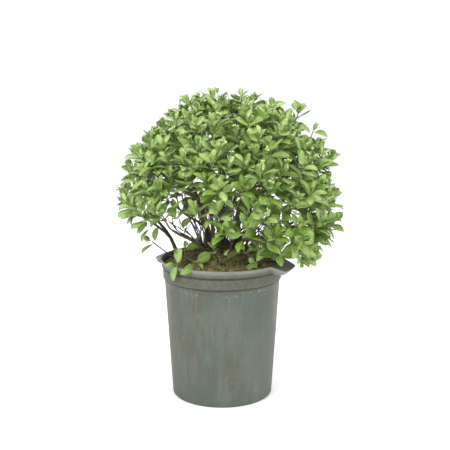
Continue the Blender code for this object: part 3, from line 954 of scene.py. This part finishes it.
LEAF_LENGTH = 0.043
LEAF_WIDTH = 0.52               # share of the length
LEAF_STALK = 0.11               # share of the length
LEAF_ROWS = 8
LEAF_THICKNESS = 0.010          # share of the length, at the midrib
LEAF_SCALLOP = 0.035
UPPER_EDGE = 0.48               # across a leaf's UV sheet: the upper side ends here
UNDER_EDGE = 0.52               # the underside starts here
UNDER_RIDGE = 0.76              # and its two halves meet here
PAIR_TURN = math.radians(90)
PAIR_GAP = 0.0085               # between a shoot's pairs of leaves
LEAF_OLD_AND_PAINTED_SHADE = (0.136, 0.258, 0.011)
LEAF_YOUNG = (0.354, 0.520, 0.142)
LEAF_EDGE = (0.410, 0.530, 0.190)
LEAF_VEIN = (0.400, 0.520, 0.220)
LEAF_MIDRIB = (0.480, 0.600, 0.260)
LEAF_UNDERSIDE = (0.320, 0.430, 0.150)


def leaf_half_width(share, tip):
    """Half the blade's width at a share of its length: wedge-shaped foot, and a tip that is rounder below 1."""
    widest = 0.95 / (0.95 + tip)
    return 0.5 * LEAF_WIDTH * (share / widest) ** 0.95 * ((1.0 - share) / (1.0 - widest)) ** tip


def leaf_mesh(name, fold, curl, cup, twist, narrow, tip):
    """One leaf of unit length pointing up, its upper side towards +Y, as a thin closed blade on its stalk."""
    spans = []
    place = Vector()
    for row in range(LEAF_ROWS + 1):
        share = row / LEAF_ROWS
        bend = curl * share * share
        if row:
            place = place + Vector((0.0, -math.sin(bend), math.cos(bend))) / LEAF_ROWS
        blade = max(0.0, (share - LEAF_STALK) / (1.0 - LEAF_STALK))
        scallop = 1.0 + LEAF_SCALLOP * (1 if row % 2 else -1)
        half = max(leaf_half_width(blade, tip) * scallop * narrow, 0.014 if row < LEAF_ROWS else 0.004)
        upper = Vector((0.0, math.cos(bend), math.sin(bend)))
        spans.append((place, half, upper, twist * share, LEAF_THICKNESS * (1.6 if blade == 0.0 else 1.0)))
    builder = bmesh.new()
    grid = []
    for place, half, upper, turn, thick in spans:
        folded = fold if half > 0.02 else 0.0
        row = []
        for across in (-1.0, -0.5, 0.0, 0.5, 1.0):
            lift = abs(across) * half * math.tan(folded) - cup * half * (1.0 - across * across) * 0.35
            side = Vector((math.cos(turn), math.sin(turn), 0.0)) * across * half
            row.append(builder.verts.new(place + side + upper * lift))
        under = builder.verts.new(place - upper * (thick + cup * half * 0.35))
        grid.append((row, under))
    sheet = builder.loops.layers.uv.new("leaf_uv")

    def add_face(corners, places):
        face = builder.faces.new(corners)
        face.smooth = True
        for loop, (across, along) in zip(face.loops, places):
            loop[sheet].uv = (across, along)

    for index in range(LEAF_ROWS):
        (near, near_under), (far, far_under) = grid[index], grid[index + 1]
        low, high = index / LEAF_ROWS, (index + 1) / LEAF_ROWS
        for column in range(4):
            left, right = UPPER_EDGE * column / 4.0, UPPER_EDGE * (column + 1) / 4.0
            add_face((near[column], far[column], far[column + 1], near[column + 1]),
                     ((left, low), (left, high), (right, high), (right, low)))
        for corners, left, right in (((near[0], near_under, far_under, far[0]), UNDER_EDGE, UNDER_RIDGE),
                                     ((near_under, near[4], far[4], far_under), UNDER_RIDGE, 1.0)):
            add_face(corners, ((left, low), (right, low), (right, high), (left, high)))
    for (row, under), along in ((grid[0], 0.0), (grid[-1], 1.0)):
        corners = (row[0], row[1], row[2], row[3], row[4], under)
        add_face(corners if along == 0.0 else corners[::-1], ((UNDER_RIDGE, along),) * 6)
    bmesh.ops.recalc_face_normals(builder, faces=builder.faces)
    return mesh_of(name, builder)


def leaf_kinds():
    """A few leaves of different fold and curl, as a hidden collection to grow from."""
    kinds = bpy.data.collections.new("leaf kinds")
    shapes = (("a", 16, 26, 0.20, 8, 1.00, 0.90), ("b", 10, 48, 0.30, -12, 0.94, 0.74),
              ("c", 22, 14, 0.15, 5, 1.06, 0.96), ("d", 12, -16, 0.25, -8, 0.98, 0.82),
              ("e", 28, 36, 0.20, 16, 0.88, 1.00), ("f", 6, 24, 0.40, -5, 1.10, 0.68))
    for label, fold, curl, cup, twist, narrow, tip in shapes:
        name = f"leaf {label}"
        mesh = leaf_mesh(name, math.radians(fold), math.radians(curl), cup, math.radians(twist), narrow, tip)
        kinds.objects.link(bpy.data.objects.new(name, mesh))
    return kinds


def leaf_growth():
    """Crossed pairs of leaves down each shoot, from small upright ones at its tip to open ones below."""
    growth = Growth("grow leaves", {"Kinds": "Collection", "Leaf Length": "Float", "Pair Turn": "Float",
                                    "Pair Gap": "Float", "Sheet Cells": "Float", "Finish": "Material",
                                    "Seed": "Int"})
    seed = growth.given("Seed")
    pairs = growth.named("pairs", "INT")
    copies = growth.tree.nodes.new("GeometryNodeDuplicateElements")
    copies.domain = "POINT"
    growth.feed(copies.inputs["Geometry"], growth.given("Geometry"))
    growth.feed(copies.inputs["Amount"], pairs * 2.0)
    order = Value(growth, copies.outputs["Duplicate Index"])
    pair = growth.maths("FLOOR", order / 2.0)
    share = pair / growth.maths("MAXIMUM", pairs - 1.0, 1.0)
    slide = growth.given("Pair Gap") * growth.named("size") * (pair + growth.chance(-0.35, 0.35, seed + 6))
    axis = growth.named("axis", "FLOAT_VECTOR")
    points = growth.add("GeometryNodeSetPosition", None,
                        {"Geometry": Value(growth, copies.outputs["Geometry"]),
                         "Offset": growth.scaled(axis, slide * -1.0)})
    open_inner, open_outer = growth.named("open_inner"), growth.named("open_outer")
    open_to = open_inner + (open_outer - open_inner) * share ** 0.8
    open_to = open_to + growth.chance(-0.24, 0.24, seed)
    turn = pair * growth.given("Pair Turn") + (order - pair * 2.0) * math.pi
    turn = turn + growth.named("start_turn") + growth.chance(-0.40, 0.40, seed + 1)
    aim = growth.add("FunctionNodeAlignRotationToVector", {"axis": "Z"}, {"Vector": axis})
    for angle, at in ((turn, "Z"), (open_to, "X"), (growth.chance(-0.55, 0.55, seed + 2), "Z")):
        euler = growth.add("ShaderNodeCombineXYZ", None, {at: angle})
        local = growth.add("FunctionNodeEulerToRotation", None, {"Euler": euler})
        aim = growth.add("FunctionNodeRotateRotation", {"rotation_space": "LOCAL"},
                         {"Rotation": aim, "Rotate By": local})
    size = growth.given("Leaf Length") * growth.named("size") * growth.chance(0.80, 1.15, seed + 3)
    size = size * (0.62 + 0.42 * growth.maths("MINIMUM", share * 2.0, 1.0))
    kinds = growth.add("GeometryNodeCollectionInfo", None,
                       {"Collection": growth.given("Kinds"), "Separate Children": True,
                         "Reset Children": True})
    pick = growth.chance(0, 5, seed + 4, "INT")
    leaves = growth.add("GeometryNodeInstanceOnPoints", None,
                        {"Points": points, "Instance": kinds,
                         "Pick Instance": True, "Instance Index": pick, "Rotation": aim, "Scale": size})
    tone = growth.named("tone") + growth.chance(-0.16, 0.16, seed + 5) + (0.5 - share) * 0.22
    number = growth.add("GeometryNodeInputIndex")
    for label, value in (("leaf_tone", tone), ("leaf_number", number)):
        leaves = growth.add("GeometryNodeStoreNamedAttribute", {"data_type": "FLOAT", "domain": "INSTANCE"},
                            {"Geometry": leaves, "Name": label, "Value": value})
    leaves = growth.add("GeometryNodeRealizeInstances", None, {"Geometry": leaves})
    cells = growth.given("Sheet Cells")
    place = growth.named("leaf_uv", "FLOAT_VECTOR")
    cell = growth.named("leaf_number")
    row = growth.maths("FLOOR", cell / cells)
    column = cell - row * cells
    across = (column + 0.03 + 0.94 * growth.split(place, 0)) / cells
    along = (row + 0.03 + 0.94 * growth.split(place, 1)) / cells
    sheet = growth.add("ShaderNodeCombineXYZ", None, {0: across, 1: along})
    leaves = growth.add("GeometryNodeStoreNamedAttribute", {"data_type": "FLOAT2", "domain": "CORNER"},
                        {"Geometry": leaves, "Name": "OFBake", "Value": sheet})
    growth.give(growth.add("GeometryNodeSetMaterial", None,
                           {"Geometry": leaves, "Material": growth.given("Finish")}))
    return growth


def leaf_points(name, shoots, chance):
    """An object of loose points at the shoots' tips, with what their leaves need to know."""
    mesh = bpy.data.meshes.new(name)
    mesh.from_pydata([shoot.tip for shoot in shoots], [], [])
    mesh.attributes.new("axis", "FLOAT_VECTOR", "POINT").data.foreach_set(
        "vector", [part for shoot in shoots for part in shoot.axis])
    mesh.attributes.new("pairs", "INT", "POINT").data.foreach_set("value", [shoot.pairs for shoot in shoots])
    given = {"size": [shoot.vigour for shoot in shoots], "tone": [shoot.tone for shoot in shoots],
             "start_turn": [chance.uniform(0.0, math.tau) for _ in shoots],
             "open_inner": [math.radians(chance.uniform(10, 26)) for _ in shoots],
             "open_outer": [math.radians(chance.uniform(58, 86)) for _ in shoots]}
    for label, values in given.items():
        mesh.attributes.new(label, "FLOAT", "POINT").data.foreach_set("value", values)
    return stand(name, mesh)


def leaf_finish():
    """Satin green: light or dark by age, with painted shade in the dark tones inside the crown, pale midrib and
    side veins, greyer underneath.
    """
    finish = Finish("leathery leaf")
    sheet = finish.add("ShaderNodeUVMap", {"uv_map": "leaf_uv"})
    across, along = finish.split(sheet, 0), finish.split(sheet, 1)
    under = across.step(0.495, 0.505)
    off_midrib = abs(across - (0.24 + 0.52 * under)) / 0.24
    tone = finish.add("ShaderNodeAttribute", {"attribute_name": "leaf_tone"}, output="Fac")
    patches = finish.noise(0.012, detail=3.0)
    colour = finish.mix((tone + (patches - 0.5) * 0.35).step(-0.05, 1.05), LEAF_OLD_AND_PAINTED_SHADE,
                        LEAF_YOUNG)
    edge = off_midrib.step(0.78, 1.0)
    colour = finish.mix(edge * 0.25, colour, LEAF_EDGE)
    side_veins = finish.maths("SINE", (along * 58.0) - off_midrib * 9.0)
    veins = side_veins.step(0.72, 1.0) * off_midrib.step(0.06, 0.16) * off_midrib.step(0.95, 0.75)
    colour = finish.mix(veins * 0.14, colour, LEAF_VEIN)
    midrib = off_midrib.step(0.13, 0.04)
    colour = finish.mix(midrib * 0.45, colour, LEAF_MIDRIB)
    colour = finish.mix(under * 0.55, colour, LEAF_UNDERSIDE)
    finish.set(Base_Color=colour, Roughness=0.36 + 0.20 * under + 0.10 * patches, Coat_Weight=0.45,
               Coat_Roughness=0.28)
    finish.bump(veins * 0.6 + midrib + off_midrib * 0.15, 0.0005, 0.5)
    return finish.material


leaf_chance = random.Random(17)
leaf_material = leaf_finish()
leaf_shapes = leaf_kinds()
leaf_tree = leaf_growth()
for order, spray_node in enumerate(sorted(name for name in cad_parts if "leaf_spray" in name)):
    bearing = [shoot for shoot in shoots if shoot.spray == spray_node]
    foliage = leaf_points(spray_node.replace("leaf_spray", "foliage"), bearing, leaf_chance)
    amount = 2 * sum(shoot.pairs for shoot in bearing)
    leaf_tree.run(foliage, Kinds=leaf_shapes, Leaf_Length=LEAF_LENGTH, Pair_Turn=PAIR_TURN, Pair_Gap=PAIR_GAP,
                  Sheet_Cells=float(math.ceil(math.sqrt(amount))), Finish=leaf_material, Seed=order * 11)
    settle(foliage, "leaf", spray_node)


# ---- Bare twigs, flower buds and roots ----------------------------------------------------------
# Thin old wood stands bare inside the bush. Some shoots carry open heads of small round flower buds on stalks, and
# fine roots lie on the soil. All of it is grown, and rooted in the soil or joined to the shoots.

BARE_TWIGS = 44
BUD_HEADS = 28
BUDS_FROM_HEIGHT = 0.45
BUD_RADIUS = 0.0024
SOIL_ROOTS = 60
BUD_GREEN = (0.330, 0.430, 0.120)
BUD_PALE = (0.560, 0.640, 0.300)


def bare_twig_lines():
    """Thin wood from the soil into the dark of the crown, each with a short fork."""
    chance = random.Random(31)
    lines = []
    for _ in range(BARE_TWIGS):
        turn = chance.uniform(0.0, math.tau)
        out = chance.uniform(0.015, 0.075)
        foot = heading(turn) * out
        foot = foot + UP * (soil_height(foot.x, foot.y) - 0.004)
        reach = out * chance.uniform(1.2, 1.9) + chance.uniform(0.0, 0.035)
        tip = heading(turn + chance.uniform(-0.25, 0.25)) * reach + UP * chance.uniform(0.42, 0.53)
        path = bent(foot, foot + UP * 0.05 + stray(chance, 0.012),
                    tip - UP * 0.06 + stray(chance, 0.018), tip, 12)
        thick = chance.uniform(0.0012, 0.0026)
        lines.append([(point, thick * (1.0 - 0.05 * step), 1.0) for step, point in enumerate(path)])
        for at in (6, 8):
            aside = path[at] + UP * 0.045 + stray(chance, 0.035)
            side = bent(path[at], path[at] + UP * 0.012, aside - UP * 0.01, aside, 4)
            lines.append([(point, thick * (0.6 - 0.1 * step), 0.9) for step, point in enumerate(side)])
    return lines


def bud_head_lines(shoots, buds):
    """Stalks of the flower heads: one from the shoot, forking twice in threes. Bud places go to the list."""
    chance = random.Random(12)
    lines = []
    bearing = [shoot for shoot in shoots if shoot.pairs > 3 and shoot.tip.z > BUDS_FROM_HEIGHT]
    for shoot in chance.sample(bearing, BUD_HEADS):
        foot = shoot.tip - shoot.axis * 0.004
        side = shoot.axis.cross(stray(chance, 1.0)).normalized()
        crown = foot + shoot.axis * chance.uniform(0.018, 0.028) + side * 0.008
        lines.append([(point, 0.0009, 0.0) for point in bent(foot, foot + shoot.axis * 0.01, crown, crown, 4)])
        for _ in range(3):
            ray = (shoot.axis + stray(chance, 0.9)).normalized()
            fork = crown + ray * chance.uniform(0.006, 0.010)
            lines.append([(crown, 0.0007, 0.0), (fork, 0.0006, 0.0)])
            for _ in range(3):
                bud = fork + (ray + stray(chance, 0.8)).normalized() * chance.uniform(0.003, 0.006)
                lines.append([(fork, 0.0006, 0.0), (bud, 0.0005, 0.0)])
                buds.append(bud)
    return lines


def root_lines():
    """Fine roots that wander over the soil."""
    chance = random.Random(5)
    lines = []
    for _ in range(SOIL_ROOTS):
        turn = chance.uniform(0.0, math.tau)
        place = heading(chance.uniform(0.0, math.tau)) * chance.uniform(0.02, 0.115)
        thick = chance.uniform(0.0004, 0.0010)
        line = []
        for step in range(9):
            lift = 0.0012 + (0.003 if step in (3, 4, 5) else 0.0)
            above = soil_height(place.x, place.y) + lift
            line.append((place + UP * above, thick * (1.0 - 0.07 * step), 0.9))
            turn += chance.uniform(-0.6, 0.6)
            place = place + heading(turn) * 0.004
            if place.length > 0.118:
                break
        if len(line) > 2:
            lines.append(line)
    return lines


def bud_growth():
    """A small round bud on every point."""
    growth = Growth("grow buds", {"Radius": "Float", "Finish": "Material", "Seed": "Int"})
    ball = growth.add("GeometryNodeMeshIcoSphere", None, {"Radius": growth.given("Radius"), "Subdivisions": 1})
    ball = growth.add("GeometryNodeSetShadeSmooth", None, {"Geometry": ball, "Shade Smooth": True})
    size = growth.chance(0.7, 1.15, growth.given("Seed"))
    buds = growth.add("GeometryNodeInstanceOnPoints", None,
                      {"Points": growth.given("Geometry"), "Instance": ball, "Scale": size})
    buds = growth.add("GeometryNodeRealizeInstances", None, {"Geometry": buds})
    growth.give(growth.add("GeometryNodeSetMaterial", None,
                           {"Geometry": buds, "Material": growth.given("Finish")}))
    return growth


def bud_finish():
    """Pale yellow-green, a little lighter in blotches."""
    finish = Finish("flower bud")
    finish.set(Base_Color=finish.mix(finish.noise(0.006), BUD_GREEN, BUD_PALE),
               Roughness=0.5)
    return finish.material


bare_twigs = line_piece("bare_twigs", bare_twig_lines())
wood.run(bare_twigs, Sides=SHOOT_SIDES, Finish=bark_material)
settle(bare_twigs, "bark")
bud_places = []
bud_stalks = line_piece("flower_stalks", bud_head_lines(shoots, bud_places))
wood.run(bud_stalks, Sides=5, Finish=shoot_material)
settle(bud_stalks, "leaf")
bud_points = bpy.data.meshes.new("flower_buds")
bud_points.from_pydata(bud_places, [], [])
flower_buds = stand("flower_buds", bud_points)
bud_growth().run(flower_buds, Radius=BUD_RADIUS, Finish=bud_finish(), Seed=2)
settle(flower_buds, "leaf")
soil_roots = line_piece("soil_roots", root_lines())
wood.run(soil_roots, Sides=5, Finish=shoot_material)
settle(soil_roots, "bark")


# ---- Studio -------------------------------------------------------------------------------------
# A pale floor and soft light. The camera stands two metres off, a little above the crown's middle.

CAMERA_DISTANCE = 2.0
CAMERA_HEIGHT = 0.80
CAMERA_PITCH = math.radians(10.66)
CAMERA_TURN = math.radians(-0.2)
CAMERA_LENS = 66.4
FLOOR_SIZE = 60.0
LAMPS_FACE = Vector((0.0, 0.0, 0.40))
SKY_STRENGTH = 1.07


def make_floor():
    """A wide pale sheet under the pot."""
    builder = bmesh.new()
    bmesh.ops.create_grid(builder, x_segments=1, y_segments=1, size=FLOOR_SIZE)
    mesh = mesh_of("floor", builder)
    finish = Finish("pale floor")
    finish.set(Base_Color=(0.96, 0.96, 0.96), Roughness=0.95)
    mesh.materials.append(finish.material)
    stand("floor", mesh)


def make_lamp(name, place, size, power):
    """A soft square lamp that faces the crown."""
    lamp = bpy.data.lights.new(name, "AREA")
    lamp.size = size
    lamp.energy = power
    holder = bpy.data.objects.new(name, lamp)
    holder.location = place
    holder.rotation_euler = (LAMPS_FACE - place).to_track_quat("-Z", "Y").to_euler()
    bpy.context.scene.collection.objects.link(holder)


def make_camera():
    """The camera in front of the plant."""
    camera = bpy.data.objects.new("camera", bpy.data.cameras.new("camera"))
    camera.data.lens = CAMERA_LENS
    camera.location = (0.0, -CAMERA_DISTANCE, CAMERA_HEIGHT)
    camera.rotation_euler = (math.pi / 2.0 - CAMERA_PITCH, 0.0, CAMERA_TURN)
    bpy.context.scene.collection.objects.link(camera)
    bpy.context.scene.camera = camera


make_floor()
make_lamp("key lamp", Vector((-1.4, -1.8, 2.6)), 1.6, 62.0)
make_lamp("fill lamp", Vector((1.9, -1.2, 1.5)), 1.8, 22.0)
make_lamp("back lamp", Vector((0.4, 2.2, 2.2)), 1.6, 26.0)
make_camera()
world = bpy.data.worlds.new("studio")
world.use_nodes = True
world.node_tree.nodes["Background"].inputs["Color"].default_value = (1.0, 1.0, 1.0, 1.0)
world.node_tree.nodes["Background"].inputs["Strength"].default_value = SKY_STRENGTH
bpy.context.scene.world = world
bpy.context.scene.view_settings.view_transform = "Standard"
